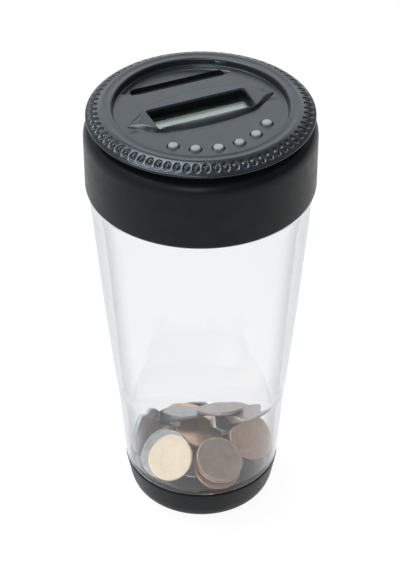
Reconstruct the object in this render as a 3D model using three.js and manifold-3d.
// Digital coin counting jar: a clear tumbler in a base cap, closed by a screw-on lid that counts coins.
// Units are millimetres. +Z is up, the origin is the centre of the resting face, and the front
// (buttons and display) faces -Y.

import * as THREE from 'three';
import { mergeVertices } from 'three/addons/utils/BufferGeometryUtils.js';
import Module from 'manifold-3d';

const wasm = await Module();
wasm.setup();

// ---------- driving dimensions ----------

const GAP = 0.3;                // clearance between pieces that touch
const SIDES = 72;               // facets round a large turned piece

// base cap and tumbler
const CAP_TOP_Z = 14.5;
const CAP_TOP_R = 31.6;
const CAP_WALL = 1.5;
const FOOT_INNER_R = 19;
const FOOT_OUTER_R = 24;
const FLOOR_Z = 12;             // inner floor of the tumbler
const FLOOR_R = 26.5;
const STEP_Z = 54;              // slight step in the outer wall
const SHOULDER_Z = 147.6;       // where the body ends and the neck begins
const SHOULDER_R = 42.5;
const NECK_R = 40.2;
const MOUTH_R = 38.2;
const NECK_TOP_Z = 167.4;

// screw thread: four starts, right-hand
const THREAD_STARTS = 4;
const THREAD_LEAD = 24;
const RIDGE_SWEEP = THREE.MathUtils.degToRad(70);
const RIDGE_OUTER_R = 41.4;
const RIDGE_HEIGHT = 1.6;
const RIDGE_LOW_Z = 156.4;
const LUG_SWEEP = THREE.MathUtils.degToRad(28);
const LUG_LATE = THREE.MathUtils.degToRad(20);
const LUG_INNER_R = 40.55;
const LUG_HEIGHT = 1.5;

// lid skirt
const SKIRT_R = 43.6;
const SKIRT_FOOT_Z = 148;
const SKIRT_INNER_R = 42;
const SKIRT_TOP_Z = 174.7;
const SKIRT_SHOULDER_R = 40.6;

// top cover
const CREST_Z = 181.6;
const PANEL_Z = 179.05;
const PANEL_UNDER_Z = 177.2;
const DISH_R = 32.2;             // foot of the dish wall, where the panel begins
const CREST_INNER_R = 35.4;
const CREST_OUTER_R = 36.8;
const EDGE_R = 42.6;
const EDGE_Z = 178.2;
const COVER_WALL_R = 38.6;
const COVER_FOOT_Z = 171.8;
const RECESS_R = 31.3;           // foot of the crescent's rear wall
const RECESS_Z = 177.9;
const CHORD_Y = 22.3;

// coin slot and chute
const SLOT_LENGTH = 38.2;
const SLOT_FRONT_Y = 19.5;
const SLOT_REAR_Y = 24.4;
const CHUTE_Y = 22;
const CHUTE_HALF_X = 19.8;
const CHUTE_HALF_Y = 2.4;
const CHUTE_WALL = 1.6;
const CHUTE_TOP_Z = 175.8;
const CHUTE_RIGHT_X = 23;
const SENSOR_X = 4;             // where the light beam crosses the chute
const SENSOR_Z = 163;

// display
const HUMP_HALF_X = 29.4;
const HUMP_FRONT = 10.3;
const HUMP_REAR = 12.1;
const HUMP_CENTRE = [0.5, 0.2];
const HUMP_RISE = 1.95;
const DISPLAY_Y = -1;
const OPENING_X = 38.8;
const OPENING_FRONT_Y = -6.65;
const OPENING_REAR_Y = 4.95;
const WINDOW_X = 42.6;
const WINDOW_Y = 14.2;
const WINDOW_TOP_Z = 177.9;
const LCD_TOP_Z = 176.6;

// buttons
const BUTTON_COUNT = 6;
const BUTTON_ARC_R = 25.6;
const BUTTON_SPACING = THREE.MathUtils.degToRad(18.5);
const BUTTON_R = 1.9;
const BUTTON_FLANGE_R = 2.6;
const BUTTON_TOP_Z = 180.05;
const BUTTON_FOOT_Z = 175.3;
const BUTTON_HOLE_R = 2.2;

// circuit board and keypad
const BOARD_TOP_Z = 173;
const BOARD_THICK = 1.2;
const BOARD_R = 32;
const BOARD_HALF_X = 25.6;
const BOARD_REAR_Y = 13.6;

// inner housing, posts and battery box
const HOUSING_FLOOR_Z = 154;
const HOUSING_FLOOR_THICK = 1.8;
const HOUSING_R = 37.3;
const HOUSING_INNER_R = 35.8;
const FLANGE_R = 41.6;
const FLANGE_TOP_Z = 170.5;
const FLANGE_THICK = 1.4;
const POSTS = [[30, -10], [-30, -10], [27.5, 17.5], [-27.5, 17.5]];
const POST_R = 3.1;
const POST_TOP_Z = 169.6;
const BOSS_R = 2.7;
const BOX_HALF_X = 25.8;
const BOX_FRONT_Y = -21.6;
const BOX_REAR_Y = 1.2;
const BOX_ROOF_Z = 168.6;
const BOX_WALL = 1.4;
const CELL_R = 5.2;
const CELL_LENGTH = 43.6;
const CELL_Y = [-4.6, -15.8];
const CELL_Z = 161.4;

// door and lever
const DOOR_HINGE_Y = -0.1;
const LEVER_PIVOT = [21, 172];
const LEVER_TIP = [-2, 165];
const LEVER_THICK = 2;

// coins: radius and thickness of each kind
const CENT = { radius: 9.5, thick: 1.5, colour: 0xb5835a };
const NICKEL = { radius: 10.6, thick: 1.9, colour: 0xa9a9a6 };
const DIME = { radius: 8.95, thick: 1.35, colour: 0xb4b5b4 };
const QUARTER = { radius: 12.1, thick: 1.75, colour: 0xaeafae };

// coins in the jar: kind, centre, degrees the face leans from level, compass degrees it leans towards
const COINS = [
  ['cent_1', CENT, [-18.3, -11.5, 24.5], 47, -152],
  ['cent_2', CENT, [-0.9, -19.7, 24.1], 33, -77],
  ['cent_3', CENT, [-0.9, -18.9, 22.4], 33, -77],
  ['cent_4', CENT, [-1.7, -19, 19], 33, -77],
  ['cent_5', CENT, [17, -10.9, 22.9], 47, -78],
  ['cent_6', CENT, [-1.4, -0.9, 24.8], 13, -34],
  ['cent_7', CENT, [9.8, 3.5, 30.3], 27, 73],
  ['cent_8', CENT, [19.9, -1.8, 29.5], 29, 81],
  ['cent_9', CENT, [-8.1, 3.6, 18.3], 21, -106],
  ['cent_10', CENT, [17.8, 3.2, 23.1], 6, -19],
  ['cent_11', CENT, [1.9, 16.3, 20.6], 21, 34],
  ['nickel_1', NICKEL, [-18.1, -5.8, 21.8], 49, -152],
  ['nickel_2', NICKEL, [-19.9, 8.7, 23.1], 80, -50],
  ['nickel_3', NICKEL, [13, 6.5, 18], 14, 104],
  ['nickel_4', NICKEL, [-6.2, -6.3, 17.6], 20, -106],
  ['dime_1', DIME, [-3, 10.4, 27.4], 27, 63],
  ['dime_2', DIME, [16.8, -9.7, 21.7], 47, -78],
  ['quarter_1', QUARTER, [9.9, -0.4, 13.9], 1, 8],
];

// ---------- shape helpers ----------

// A closed three.js mesh as a solid that can be joined and cut.
function asSolid(geometry) {
  const bare = geometry.index ? geometry.toNonIndexed() : geometry.clone();
  bare.deleteAttribute('normal');
  bare.deleteAttribute('uv');
  const merged = mergeVertices(bare, 1e-4);
  const points = merged.attributes.position;
  const corners = merged.index.array;
  const kept = [];
  let volume = 0;
  const a = new THREE.Vector3();
  const b = new THREE.Vector3();
  const c = new THREE.Vector3();
  for (let i = 0; i < corners.length; i += 3) {
    const [p, q, r] = [corners[i], corners[i + 1], corners[i + 2]];
    if (p === q || q === r || r === p) continue;
    kept.push(p, q, r);
    a.fromBufferAttribute(points, p);
    b.fromBufferAttribute(points, q);
    c.fromBufferAttribute(points, r);
    volume += a.dot(b.cross(c));
  }
  if (volume < 0) kept.reverse();
  const mesh = new wasm.Mesh({
    numProp: 3,
    vertProperties: new Float32Array(points.array),
    triVerts: new Uint32Array(kept),
  });
  return new wasm.Manifold(mesh);
}

function asGeometry(solid) {
  const mesh = solid.getMesh();
  const geometry = new THREE.BufferGeometry();
  geometry.setAttribute('position', new THREE.BufferAttribute(new Float32Array(mesh.vertProperties), 3));
  geometry.setIndex(new THREE.BufferAttribute(new Uint32Array(mesh.triVerts), 1));
  geometry.computeVertexNormals();
  return geometry;
}

// A profile of [radius, z] points turned about Z. It closes on itself or on the axis.
function turned(profile, sides = SIDES) {
  const points = profile.map(([radius, z]) => new THREE.Vector2(radius, z));
  const touchesAxis = profile[0][0] === 0 && profile.at(-1)[0] === 0;
  if (!touchesAxis) points.push(points[0].clone());
  const geometry = new THREE.LatheGeometry(points, sides);
  geometry.rotateX(Math.PI / 2);
  return asSolid(geometry);
}

// A box given by its two corners.
function block([x0, y0, z0], [x1, y1, z1]) {
  const geometry = new THREE.BoxGeometry(x1 - x0, y1 - y0, z1 - z0);
  geometry.translate((x0 + x1) / 2, (y0 + y1) / 2, (z0 + z1) / 2);
  return asSolid(geometry);
}

// A round bar between two points.
function bar(radius, from, to, sides = 16) {
  const start = new THREE.Vector3(...from);
  const end = new THREE.Vector3(...to);
  const along = end.clone().sub(start);
  const geometry = new THREE.CylinderGeometry(radius, radius, along.length(), sides);
  const up = new THREE.Vector3(0, 1, 0);
  geometry.applyQuaternion(new THREE.Quaternion().setFromUnitVectors(up, along.clone().normalize()));
  geometry.translate(...start.add(end).multiplyScalar(0.5).toArray());
  return asSolid(geometry);
}

// A flat outline drawn in XY, raised from z0 to z1.
function slab(shape, z0, z1, curveSegments = 12) {
  const geometry = new THREE.ExtrudeGeometry(shape, { depth: z1 - z0, bevelEnabled: false, curveSegments });
  geometry.translate(0, 0, z0);
  return asSolid(geometry);
}

// An upright round peg or hole, centred at x, y.
function peg(radius, x, y, z0, z1, sides = 16) {
  return bar(radius, [x, y, z0], [x, y, z1], sides);
}

// A rectangular bar bent round Z that climbs as the screw thread does.
function threadBar(innerR, outerR, height, startAngle, sweep, startZ, steps) {
  const geometry = new THREE.BoxGeometry(1, outerR - innerR, height, steps, 1, 1);
  const points = geometry.attributes.position;
  for (let i = 0; i < points.count; i += 1) {
    const share = points.getX(i) + 0.5;
    const angle = startAngle + share * sweep;
    const radius = (innerR + outerR) / 2 + points.getY(i);
    const climb = THREAD_LEAD * share * sweep / (2 * Math.PI);
    points.setXYZ(i, radius * Math.cos(angle), radius * Math.sin(angle), startZ + climb + points.getZ(i));
  }
  return asSolid(geometry);
}

// A wire of round section along a curve.
function wire(curve, radius, steps, sides = 6) {
  const section = new THREE.Shape();
  section.absarc(0, 0, radius, 0, 2 * Math.PI);
  const options = { steps, extrudePath: curve, curveSegments: sides / 2, bevelEnabled: false };
  return asSolid(new THREE.ExtrudeGeometry(section, options));
}

function paint(colour, roughness, metalness = 0, opacity = 1) {
  const transparent = opacity < 1;
  return new THREE.MeshStandardMaterial({ color: colour, roughness, metalness, transparent, opacity });
}

function piece(name, solid, material) {
  const mesh = new THREE.Mesh(asGeometry(solid), material);
  mesh.name = name;
  return mesh;
}

// ---------- materials ----------

const clearPlastic = paint(0xeef3f6, 0.05, 0, 0.3);
const blackPlastic = paint(0x26282b, 0.4);
const greyPlastic = paint(0x45494d, 0.38);
const innerPlastic = paint(0x303336, 0.55);
const buttonRubber = paint(0xb9bcc0, 0.5);
const softRubber = paint(0x3a3c3f, 0.8);
const smokedGlass = paint(0x1a201e, 0.1);
const windowPlastic = paint(0x8f9a98, 0.08, 0, 0.35);
const boardResin = paint(0x1f6a3f, 0.5);
const chipResin = paint(0x0f0f10, 0.35);
const nickelPlate = paint(0xc4c6c8, 0.3, 1);
const cellSleeve = paint(0x2f6fb0, 0.35, 0.2);
const redSleeve = paint(0xb02020, 0.5);
const blackSleeve = paint(0x151515, 0.5);

// ---------- jar ----------

// Outer radius of the tumbler above the base cap: a straight taper with a slight step.
function tumblerOuterProfile() {
  return [
    [31.3, CAP_TOP_Z + GAP],
    [34.1, STEP_Z - 2],
    [34.9, STEP_Z + 3],
    [38.2, 92],
    [SHOULDER_R, SHOULDER_Z - 1],
    [SHOULDER_R - 0.6, SHOULDER_Z],
    [NECK_R, SHOULDER_Z + 0.2],
    [NECK_R, NECK_TOP_Z - 0.5],
    [NECK_R - 0.5, NECK_TOP_Z],
  ];
}

function tumbler() {
  const profile = [
    [0, 9.4],
    [25, 9.4],
    [24.8, 3.4],
    [26.2, 3.4],
    [CAP_TOP_R - CAP_WALL - GAP, CAP_TOP_Z - 2],
    [CAP_TOP_R - CAP_WALL - GAP, CAP_TOP_Z + GAP],
    ...tumblerOuterProfile(),
    [MOUTH_R, NECK_TOP_Z],
    [MOUTH_R, SHOULDER_Z - 2],
    [FLOOR_R + 2.4, FLOOR_Z + 4.4],
    [FLOOR_R + 1.7, FLOOR_Z + 1.2],
    [FLOOR_R, FLOOR_Z],
    [0, FLOOR_Z],
  ];
  let solid = turned(profile);
  for (let start = 0; start < THREAD_STARTS; start += 1) {
    const angle = start * 2 * Math.PI / THREAD_STARTS;
    const ridge = threadBar(NECK_R - 0.6, RIDGE_OUTER_R, RIDGE_HEIGHT, angle, RIDGE_SWEEP, RIDGE_LOW_Z, 8);
    solid = solid.add(ridge);
  }
  return piece('tumbler', solid, clearPlastic);
}

function baseCap() {
  const profile = [
    [0, 1],
    [FOOT_INNER_R - 1, 1],
    [FOOT_INNER_R, 0],
    [FOOT_OUTER_R, 0],
    [26.6, 0.8],
    [28.2, 2.2],
    [29.2, 4.2],
    [CAP_TOP_R - 0.2, CAP_TOP_Z - 0.6],
    [CAP_TOP_R - 0.5, CAP_TOP_Z],
    [CAP_TOP_R - CAP_WALL, CAP_TOP_Z],
    [CAP_TOP_R - CAP_WALL, CAP_TOP_Z - 2],
    [27.4, 4],
    [26, 2.8],
    [0, 2.8],
  ];
  return piece('base_cap', turned(profile), blackPlastic);
}

// A coin is a disc whose face leans from level towards a compass direction in degrees.
function coin([label, kind, place, lean, towards]) {
  const geometry = new THREE.CylinderGeometry(kind.radius, kind.radius, kind.thick, 36);
  geometry.rotateX(Math.PI / 2);
  const mesh = piece(`coin_${label}`, asSolid(geometry), paint(kind.colour, 0.35, 0.9));
  const direction = THREE.MathUtils.degToRad(towards);
  const tiltAxis = new THREE.Vector3(-Math.sin(direction), Math.cos(direction), 0);
  mesh.quaternion.setFromAxisAngle(tiltAxis, THREE.MathUtils.degToRad(lean));
  mesh.position.set(...place);
  return mesh;
}

function jar() {
  const group = new THREE.Group();
  group.add(tumbler(), baseCap());
  COINS.forEach((entry) => group.add(coin(entry)));
  return group;
}

// ---------- lid shells ----------

function lidGasket() {
  const foot = NECK_TOP_Z + GAP;
  const top = FLANGE_TOP_Z - FLANGE_THICK - GAP;
  const profile = [[MOUTH_R + 0.2, foot], [NECK_R - 0.2, foot], [NECK_R - 0.2, top], [MOUTH_R + 0.2, top]];
  return piece('lid_gasket', turned(profile), softRubber);
}

function lidSkirt() {
  const profile = [
    [SKIRT_R - 0.3, SKIRT_FOOT_Z],
    [SKIRT_R, SKIRT_FOOT_Z + 1],
    [SKIRT_R, 170.4],
    [43.1, 172.3],
    [42.1, 173.8],
    [SKIRT_SHOULDER_R, SKIRT_TOP_Z],
    [39.2, SKIRT_TOP_Z],
    [39.2, 172.9],
    [41, 172.4],
    [SKIRT_INNER_R, 171],
    [SKIRT_INNER_R, SKIRT_FOOT_Z],
  ];
  let solid = turned(profile);
  const drop = (RIDGE_HEIGHT + LUG_HEIGHT) / 2 + GAP;
  const climb = THREAD_LEAD * LUG_LATE / (2 * Math.PI);
  for (let start = 0; start < THREAD_STARTS; start += 1) {
    const angle = start * 2 * Math.PI / THREAD_STARTS + LUG_LATE;
    const lowZ = RIDGE_LOW_Z - drop + climb;
    solid = solid.add(threadBar(LUG_INNER_R, SKIRT_INNER_R + 0.6, LUG_HEIGHT, angle, LUG_SWEEP, lowZ, 4));
  }
  return piece('lid_skirt', solid, blackPlastic);
}

// The outline of the display hump: a full curve in front, a deeper one behind, meeting in two points.
function humpOutline() {
  const steps = 14;
  const points = [];
  for (const [side, depth] of [[1, HUMP_REAR], [-1, HUMP_FRONT]]) {
    for (let i = 0; i < steps; i += 1) {
      const share = 1 - 2 * i / steps;
      const reach = depth * (1 - Math.abs(share) ** 2.8);
      points.push(new THREE.Vector2(side * share * HUMP_HALF_X, side * reach));
    }
  }
  return new THREE.Shape(points);
}

function displayHump() {
  const bevel = 1.2;
  const geometry = new THREE.ExtrudeGeometry(humpOutline(), {
    depth: 1,
    bevelThickness: HUMP_RISE,
    bevelSize: bevel,
    bevelOffset: -bevel,
    bevelSegments: 3,
  });
  geometry.translate(...HUMP_CENTRE, PANEL_Z - 1);
  const above = block([-DISH_R, -DISH_R, PANEL_UNDER_Z + 0.4], [DISH_R, DISH_R, CREST_Z]);
  return asSolid(geometry).intersect(above);
}

// A straight slot with round ends, cut upright.
function roundedSlot(length, frontY, rearY, z0, z1) {
  const radius = (rearY - frontY) / 2;
  const middleY = (frontY + rearY) / 2;
  const reach = length / 2 - radius;
  const shape = new THREE.Shape();
  shape.absarc(reach, middleY, radius, -Math.PI / 2, Math.PI / 2);
  shape.absarc(-reach, middleY, radius, Math.PI / 2, 1.5 * Math.PI);
  return slab(shape, z0, z1, 6);
}

function buttonPlaces() {
  const places = [];
  for (let i = 0; i < BUTTON_COUNT; i += 1) {
    const angle = (i - (BUTTON_COUNT - 1) / 2) * BUTTON_SPACING;
    places.push([BUTTON_ARC_R * Math.sin(angle), -BUTTON_ARC_R * Math.cos(angle)]);
  }
  return places;
}

function coverShell() {
  const profile = [
    [0, PANEL_UNDER_Z],
    [35.2, PANEL_UNDER_Z],
    [36.8, 176],
    [36.8, COVER_FOOT_Z],
    [COVER_WALL_R, COVER_FOOT_Z],
    [COVER_WALL_R, 175.4],
    [39.8, 176.6],
    [41.6, 177.3],
    [EDGE_R, EDGE_Z],
    [EDGE_R - 0.4, 178.9],
    [38.6, 180.9],
    [CREST_OUTER_R, CREST_Z],
    [CREST_INNER_R, CREST_Z],
    [DISH_R + 0.5, CREST_Z - 0.7],
    [DISH_R, PANEL_Z],
    [0, PANEL_Z],
  ];
  return turned(profile);
}

// The crescent behind the chord where the floor is lower, with a steep rear wall.
function crescentCut() {
  const wallTop = CREST_Z - 0.7;
  const bowl = turned([[0, RECESS_Z], [RECESS_R, RECESS_Z], [DISH_R + 0.2, wallTop], [DISH_R + 0.2, 190], [0, 190]]);
  return bowl.intersect(block([-DISH_R, CHORD_Y, RECESS_Z - 1], [DISH_R, DISH_R + 1, 191]));
}

// The thicker plate that carries the crescent's floor.
function crescentFloor() {
  const disc = peg(DISH_R + 2.2, 0, 0, RECESS_Z - 1.8, PANEL_UNDER_Z + 0.4, SIDES);
  return disc.intersect(block([-DISH_R, 17.2, 170], [DISH_R, DISH_R + 3, 180]));
}

function topCover() {
  let solid = coverShell().add(crescentFloor()).subtract(crescentCut());
  solid = solid.add(displayHump());
  const halfX = WINDOW_X / 2 + GAP;
  const halfY = WINDOW_Y / 2 + GAP;
  const pocketTop = WINDOW_TOP_Z + GAP;
  solid = solid.subtract(block([-halfX, DISPLAY_Y - halfY, 175], [halfX, DISPLAY_Y + halfY, pocketTop]));
  const openX = OPENING_X / 2;
  solid = solid.subtract(block([-openX, OPENING_FRONT_Y, 175], [openX, OPENING_REAR_Y, 185]));
  solid = solid.subtract(roundedSlot(SLOT_LENGTH, SLOT_FRONT_Y, SLOT_REAR_Y, 170, 185));
  for (const [x, y] of buttonPlaces()) {
    solid = solid.subtract(peg(BUTTON_HOLE_R, x, y, 175, 182));
  }
  for (const [x, y] of POSTS) {
    const boss = peg(BOSS_R, x, y, POST_TOP_Z + GAP, PANEL_UNDER_Z + 0.5, 12);
    const pilot = peg(1.3, x, y, POST_TOP_Z, PANEL_UNDER_Z - 0.6, 12);
    solid = solid.add(boss).subtract(pilot);
  }
  return piece('top_cover', solid, greyPlastic);
}

function innerHousing() {
  const floorTop = HOUSING_FLOOR_Z + HOUSING_FLOOR_THICK;
  const flangeFoot = FLANGE_TOP_Z - FLANGE_THICK;
  const profile = [
    [0, HOUSING_FLOOR_Z],
    [HOUSING_R - 1, HOUSING_FLOOR_Z],
    [HOUSING_R, HOUSING_FLOOR_Z + 1],
    [HOUSING_R, flangeFoot],
    [FLANGE_R, flangeFoot],
    [FLANGE_R, FLANGE_TOP_Z],
    [HOUSING_INNER_R, FLANGE_TOP_Z],
    [HOUSING_INNER_R, floorTop],
    [0, floorTop],
  ];
  let solid = turned(profile);
  for (const [x, y] of POSTS) {
    solid = solid.add(peg(POST_R, x, y, HOUSING_FLOOR_Z + 0.5, POST_TOP_Z, 12));
  }
  const outerX = BOX_HALF_X + BOX_WALL;
  const boxLow = [-outerX, BOX_FRONT_Y - BOX_WALL, floorTop - 0.5];
  const boxHigh = [outerX, BOX_REAR_Y + BOX_WALL, BOX_ROOF_Z];
  solid = solid.add(block(boxLow, boxHigh));
  const hollowHigh = [BOX_HALF_X, BOX_REAR_Y, BOX_ROOF_Z - BOX_WALL];
  solid = solid.subtract(block([-BOX_HALF_X, BOX_FRONT_Y, HOUSING_FLOOR_Z - 1], hollowHigh));
  for (const y of CELL_Y) {
    const slit = [BOX_HALF_X - 2, y - 1.6, BOX_ROOF_Z - BOX_WALL - 1];
    solid = solid.subtract(block(slit, [BOX_HALF_X, y + 1.6, BOX_ROOF_Z + 1]));
  }
  for (const [x, y] of POSTS) {
    solid = solid.subtract(peg(2.2, x, y, HOUSING_FLOOR_Z - 1, 164, 12));
    solid = solid.subtract(peg(1.35, x, y, 163, POST_TOP_Z + 1, 12));
  }
  const chuteLow = [-CHUTE_HALF_X - GAP, CHUTE_Y - CHUTE_HALF_Y - GAP, HOUSING_FLOOR_Z - 1];
  solid = solid.subtract(block(chuteLow, [CHUTE_HALF_X + GAP, CHUTE_Y + CHUTE_HALF_Y + GAP, floorTop + 1]));
  return piece('inner_housing', solid, innerPlastic);
}

// ---------- display, board and keypad ----------

function displayWindow() {
  const low = [-WINDOW_X / 2, DISPLAY_Y - WINDOW_Y / 2, WINDOW_TOP_Z - 1];
  const high = [WINDOW_X / 2, DISPLAY_Y + WINDOW_Y / 2, WINDOW_TOP_Z];
  return piece('display_window', block(low, high), windowPlastic);
}

function lcdGlass() {
  const low = [-21.2, DISPLAY_Y - 7, LCD_TOP_Z - 1.6];
  const high = [21.2, DISPLAY_Y + 7, LCD_TOP_Z];
  const ledge = block([-21.2, DISPLAY_Y - 7, LCD_TOP_Z - 0.8], [21.2, DISPLAY_Y - 5, LCD_TOP_Z + 1]);
  return piece('lcd_glass', block(low, high).subtract(ledge), smokedGlass);
}

function lcdHolder() {
  const foot = BOARD_TOP_Z + GAP;
  const outer = block([-24.4, DISPLAY_Y - 9.4, foot], [24.4, DISPLAY_Y + 9.4, LCD_TOP_Z - GAP]);
  const inner = block([-21.6, DISPLAY_Y - 7.4, foot - 1], [21.6, DISPLAY_Y + 7.4, LCD_TOP_Z + 1]);
  return piece('lcd_holder', outer.subtract(inner), innerPlastic);
}

function zebraConnector() {
  const low = [-20, DISPLAY_Y + 4, BOARD_TOP_Z + GAP];
  const high = [20, DISPLAY_Y + 6.2, LCD_TOP_Z - 1.6 - GAP];
  return piece('zebra_connector', block(low, high), softRubber);
}

function circuitBoard() {
  const foot = BOARD_TOP_Z - BOARD_THICK;
  const disc = peg(BOARD_R, 0, 0, foot, BOARD_TOP_Z, SIDES);
  const outline = block([-BOARD_HALF_X, -BOARD_R, foot - 1], [BOARD_HALF_X, BOARD_REAR_Y, BOARD_TOP_Z + 1]);
  return piece('circuit_board', disc.intersect(outline), boardResin);
}

function counterChip() {
  const top = BOARD_TOP_Z - BOARD_THICK - GAP;
  const profile = [[0, top - 1.1], [3.4, top - 0.8], [5, top - 0.3], [5.4, top], [0, top]];
  const chip = piece('counter_chip', turned(profile, 20), chipResin);
  chip.position.set(0, -6, 0);
  return chip;
}

function quartzCrystal() {
  const z = BOARD_TOP_Z - BOARD_THICK - GAP - 1;
  return piece('quartz_crystal', bar(1, [-17, 6, z], [-11, 6, z], 12), nickelPlate);
}

// Silicone strip on the board with a low dome under each button.
function keypadMembrane() {
  const foot = BOARD_TOP_Z + GAP;
  const strip = turned([[22.4, foot], [28.8, foot], [28.8, foot + 0.6], [22.4, foot + 0.6]]);
  const reach = BUTTON_ARC_R * Math.sin(2.5 * BUTTON_SPACING) + 3.4;
  const front = block([-reach, -30, foot - 1], [reach, -13.4, foot + 2]);
  let solid = strip.intersect(front);
  for (const [x, y] of buttonPlaces()) {
    solid = solid.add(peg(2.2, x, y, foot + 0.3, foot + 0.95, 12));
  }
  return piece('keypad_membrane', solid, softRubber);
}

function button(index, [x, y]) {
  const dome = BUTTON_TOP_Z - 0.95;
  const profile = [
    [0, BUTTON_FOOT_Z],
    [BUTTON_FLANGE_R, BUTTON_FOOT_Z],
    [BUTTON_FLANGE_R, PANEL_UNDER_Z - GAP],
    [BUTTON_R, PANEL_UNDER_Z - GAP],
    [BUTTON_R, dome],
    [BUTTON_R * 0.75, BUTTON_TOP_Z - 0.3],
    [0, BUTTON_TOP_Z],
  ];
  const mesh = piece(`button_${index + 1}`, turned(profile, 16), buttonRubber);
  mesh.position.set(x, y, 0);
  return mesh;
}

// ---------- coin chute and lever ----------

function coinChute() {
  const foot = HOUSING_FLOOR_Z + HOUSING_FLOOR_THICK + GAP;
  const frontY = CHUTE_Y - CHUTE_HALF_Y;
  const rearY = CHUTE_Y + CHUTE_HALF_Y;
  const left = -CHUTE_HALF_X - CHUTE_WALL;
  let solid = block([left, frontY - CHUTE_WALL, foot], [CHUTE_RIGHT_X, frontY, CHUTE_TOP_Z]);
  solid = solid.add(block([left, rearY, foot], [CHUTE_RIGHT_X, rearY + CHUTE_WALL, CHUTE_TOP_Z]));
  const overlap = 0.2;
  const endLow = [left, frontY - overlap, foot];
  solid = solid.add(block(endLow, [-CHUTE_HALF_X, rearY + overlap, CHUTE_TOP_Z]));
  const sillLow = [CHUTE_HALF_X, frontY - overlap, foot];
  solid = solid.add(block(sillLow, [CHUTE_RIGHT_X, rearY + overlap, 161]));
  const [pivotX, pivotZ] = LEVER_PIVOT;
  solid = solid.subtract(bar(0.95, [pivotX, 10, pivotZ], [pivotX, 30, pivotZ], 12));
  solid = solid.subtract(bar(1.2, [SENSOR_X, 10, SENSOR_Z], [SENSOR_X, 30, SENSOR_Z], 12));
  return piece('coin_chute', solid, innerPlastic);
}

// A long arm across the chute that a coin pushes aside by its own width.
function coinLever() {
  const [pivotX, pivotZ] = LEVER_PIVOT;
  const [tipX, tipZ] = LEVER_TIP;
  const shape = new THREE.Shape();
  const length = Math.hypot(tipX - pivotX, tipZ - pivotZ);
  shape.moveTo(0, -1.5);
  shape.lineTo(length - 1, -0.9);
  shape.absarc(length - 1, 0, 0.9, -Math.PI / 2, Math.PI / 2);
  shape.lineTo(0, 1.5);
  shape.absarc(0, 0, 1.5, Math.PI / 2, 1.5 * Math.PI);
  const hole = new THREE.Path();
  hole.absarc(0, 0, 0.95, 0, 2 * Math.PI);
  shape.holes.push(hole);
  const geometry = new THREE.ExtrudeGeometry(shape, { depth: LEVER_THICK, bevelEnabled: false, curveSegments: 6 });
  geometry.rotateX(Math.PI / 2);
  geometry.rotateY(-Math.atan2(tipZ - pivotZ, tipX - pivotX));
  geometry.translate(pivotX, CHUTE_Y + LEVER_THICK / 2, pivotZ);
  return piece('coin_lever', asSolid(geometry), innerPlastic);
}

function leverPin() {
  const [x, z] = LEVER_PIVOT;
  const reach = CHUTE_HALF_Y + CHUTE_WALL;
  return piece('lever_pin', bar(0.6, [x, CHUTE_Y - reach, z], [x, CHUTE_Y + reach, z], 10), nickelPlate);
}

function leverSpring() {
  const [x, z] = LEVER_PIVOT;
  const near = CHUTE_Y + LEVER_THICK / 2 + GAP;
  const coil = bar(1.5, [x, near, z], [x, near + 0.8, z], 14);
  const bore = bar(0.95, [x, near - 1, z], [x, near + 2, z], 14);
  return piece('lever_spring', coil.subtract(bore), nickelPlate);
}

function lightSensor(name, side, material) {
  const wall = CHUTE_Y + side * (CHUTE_HALF_Y + CHUTE_WALL + GAP);
  const back = wall + side * 1.8;
  const low = [SENSOR_X - 2, Math.min(wall, back), SENSOR_Z - 2.5];
  const high = [SENSOR_X + 2, Math.max(wall, back), SENSOR_Z + 2.5];
  return piece(name, block(low, high), material);
}

// ---------- batteries, screws and leads ----------

function batteryCell(index, y) {
  const flip = index === 0 ? 1 : -1;
  const half = CELL_LENGTH / 2;
  const profile = [
    [0, -half],
    [CELL_R - 0.4, -half],
    [CELL_R, -half + 0.5],
    [CELL_R, half - 1.8],
    [1.9, half - 1.2],
    [1.9, half],
    [0, half],
  ];
  const mesh = piece(`battery_${index + 1}`, turned(profile, 20), cellSleeve);
  mesh.rotation.y = flip * Math.PI / 2;
  mesh.position.set(0, y, CELL_Z);
  return mesh;
}

class CoilPath extends THREE.Curve {
  constructor(wideR, narrowR, length, turns) {
    super();
    Object.assign(this, { wideR, narrowR, length, turns });
  }

  getPoint(share, target = new THREE.Vector3()) {
    const angle = share * this.turns * 2 * Math.PI;
    const radius = this.wideR + (this.narrowR - this.wideR) * share;
    return target.set(share * this.length, radius * Math.cos(angle), radius * Math.sin(angle));
  }
}

function batterySpring(index, y) {
  const side = index === 0 ? -1 : 1;
  const coil = wire(new CoilPath(4, 2.2, 1.9, 2.5), 0.28, 25, 6);
  const mesh = piece(`battery_spring_${index + 1}`, coil, nickelPlate);
  mesh.rotation.z = side > 0 ? Math.PI : 0;
  mesh.position.set(side * (BOX_HALF_X - 1.5), y, CELL_Z);
  return mesh;
}

function batteryContact(index, y) {
  const side = index === 0 ? 1 : -1;
  const near = side * (CELL_LENGTH / 2 + GAP);
  const far = near + side * 0.6;
  const low = [Math.min(near, far), y - 4, CELL_Z - 4];
  const high = [Math.max(near, far), y + 4, CELL_Z + 4];
  const plate = block(low, high);
  return piece(`battery_contact_${index + 1}`, plate, nickelPlate);
}

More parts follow.
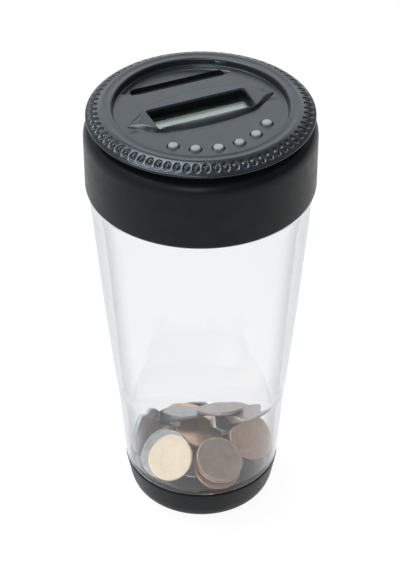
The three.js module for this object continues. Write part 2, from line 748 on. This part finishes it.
function housingScrew(index, [x, y]) {
  const headFoot = 161.4;
  const profile = [
    [0, headFoot],
    [1.7, headFoot],
    [1.9, headFoot + 0.5],
    [1.9, 163.6],
    [1, 163.7],
    [1, 175.4],
    [0, 176],
  ];
  const mesh = piece(`housing_screw_${index + 1}`, turned(profile, 12), nickelPlate);
  mesh.position.set(x, y, 0);
  return mesh;
}

function batteryLead(name, y, material) {
  const x = BOX_HALF_X - 1;
  const path = new THREE.CatmullRomCurve3([
    new THREE.Vector3(x, y, CELL_Z + 5.4),
    new THREE.Vector3(x, y, BOX_ROOF_Z + 0.4),
    new THREE.Vector3(x - 1.4, y + 0.8, BOX_ROOF_Z + 1.6),
    new THREE.Vector3(x - 3.4, y + 1.6, BOX_ROOF_Z + 1.9),
    new THREE.Vector3(x - 5.2, y + 2, BOARD_TOP_Z - BOARD_THICK - 0.9),
  ]);
  return piece(name, wire(path, 0.55, 10), material);
}

function batteryDoor() {
  const low = [-BOX_HALF_X + GAP, BOX_FRONT_Y + GAP, HOUSING_FLOOR_Z];
  const high = [BOX_HALF_X - GAP, BOX_REAR_Y - GAP, HOUSING_FLOOR_Z + 1.5];
  return piece('battery_door', block(low, high), innerPlastic);
}

function lidBody() {
  const group = new THREE.Group();
  group.add(topCover(), lidSkirt(), innerHousing(), displayWindow(), lcdGlass(), lcdHolder());
  group.add(zebraConnector(), circuitBoard(), counterChip(), quartzCrystal(), keypadMembrane());
  group.add(coinChute(), leverPin(), leverSpring());
  group.add(lightSensor('sensor_emitter', 1, smokedGlass), lightSensor('sensor_receiver', -1, chipResin));
  CELL_Y.forEach((y, index) => {
    group.add(batteryCell(index, y), batterySpring(index, y), batteryContact(index, y));
  });
  POSTS.forEach((place, index) => group.add(housingScrew(index, place)));
  group.add(batteryLead('battery_lead_red', CELL_Y[0], redSleeve));
  group.add(batteryLead('battery_lead_black', CELL_Y[1], blackSleeve));
  return group;
}

// ---------- assembly ----------

const coinJar = new THREE.Group();
coinJar.add(jar(), lidGasket(), lidBody(), coinLever(), batteryDoor());
buttonPlaces().forEach((place, index) => coinJar.add(button(index, place)));

export default coinJar;
